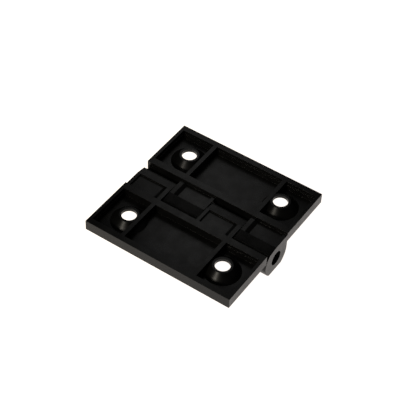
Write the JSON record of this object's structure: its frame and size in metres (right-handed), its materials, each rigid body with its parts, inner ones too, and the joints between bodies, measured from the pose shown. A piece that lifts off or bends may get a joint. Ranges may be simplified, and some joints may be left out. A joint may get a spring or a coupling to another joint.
{
  "type": "door hinge",
  "caption": "Moulded plastic leaf hinge: two ribbed square-cut leaves with countersunk screw seats and interleaved knuckles on a plain pin.",
  "frame": {"origin": "centre of the hinge's length and width, at the height of the flat on the front of the barrel, so the hinge lies on it with its leaves open and their backs up", "axes": "+X along the pin, +Y from the fixed leaf to the swing leaf, +Z out of the leaves' back (mounting) faces"},
  "size_m": [0.05, 0.05, 0.0104],
  "materials": {
    "moulded_black": "fine satin grain, black glass-filled nylon",
    "pin_steel": "drawn steel, dull"
  },
  "bodies": {
    "fixed_side": {"fixed_leaf": "moulded_black", "hinge_pin": "pin_steel"},
    "swing_side": {"swing_leaf": "moulded_black"}
  },
  "joints": [
    {"name": "leaf_swing", "type": "hinge", "parent": "fixed_side", "child": "swing_side", "pos_m": [0, 0, 0.00475], "axis": [1, 0, 0], "range_deg": [-180, 80]}
  ]
}
